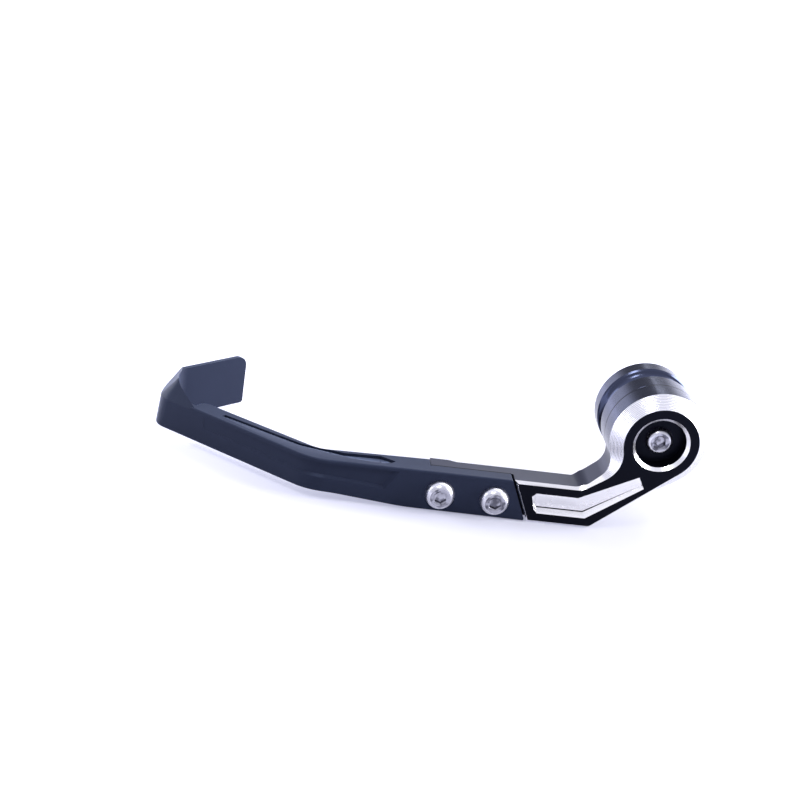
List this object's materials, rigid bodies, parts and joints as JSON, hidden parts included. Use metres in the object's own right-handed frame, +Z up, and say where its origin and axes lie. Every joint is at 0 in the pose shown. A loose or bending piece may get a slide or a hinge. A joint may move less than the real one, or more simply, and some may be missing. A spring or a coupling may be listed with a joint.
{
  "type": "brake lever guard",
  "caption": "Lever guard: bar-end ring with a turned spacer and centre bolt, a cranked machined bracket, and a swept moulded blade that folds back into a paddle.",
  "frame": {"origin": "on the bar axis, at the spacer's rear face that meets the bar end", "axes": "+Y along the bolt into the bar, +Z up, X along the guard with the blade towards -X"},
  "size_m": [0.1931, 0.0738, 0.0528],
  "materials": {
    "black_nylon": "satin moulded, fine grain",
    "black_anodised_bracket": "black anodised, bevels and pocket cut bright",
    "black_anodised_collar": "black anodised over turning",
    "stainless_bolt": "polished",
    "stainless_screws": "polished"
  },
  "bodies": {
    "root": {"guard_blade": "black_nylon", "bar_end_bracket": "black_anodised_bracket", "spacer_collar": "black_anodised_collar", "centre_bolt": "stainless_bolt", "blade_screws": "stainless_screws"}
  },
  "joints": []
}
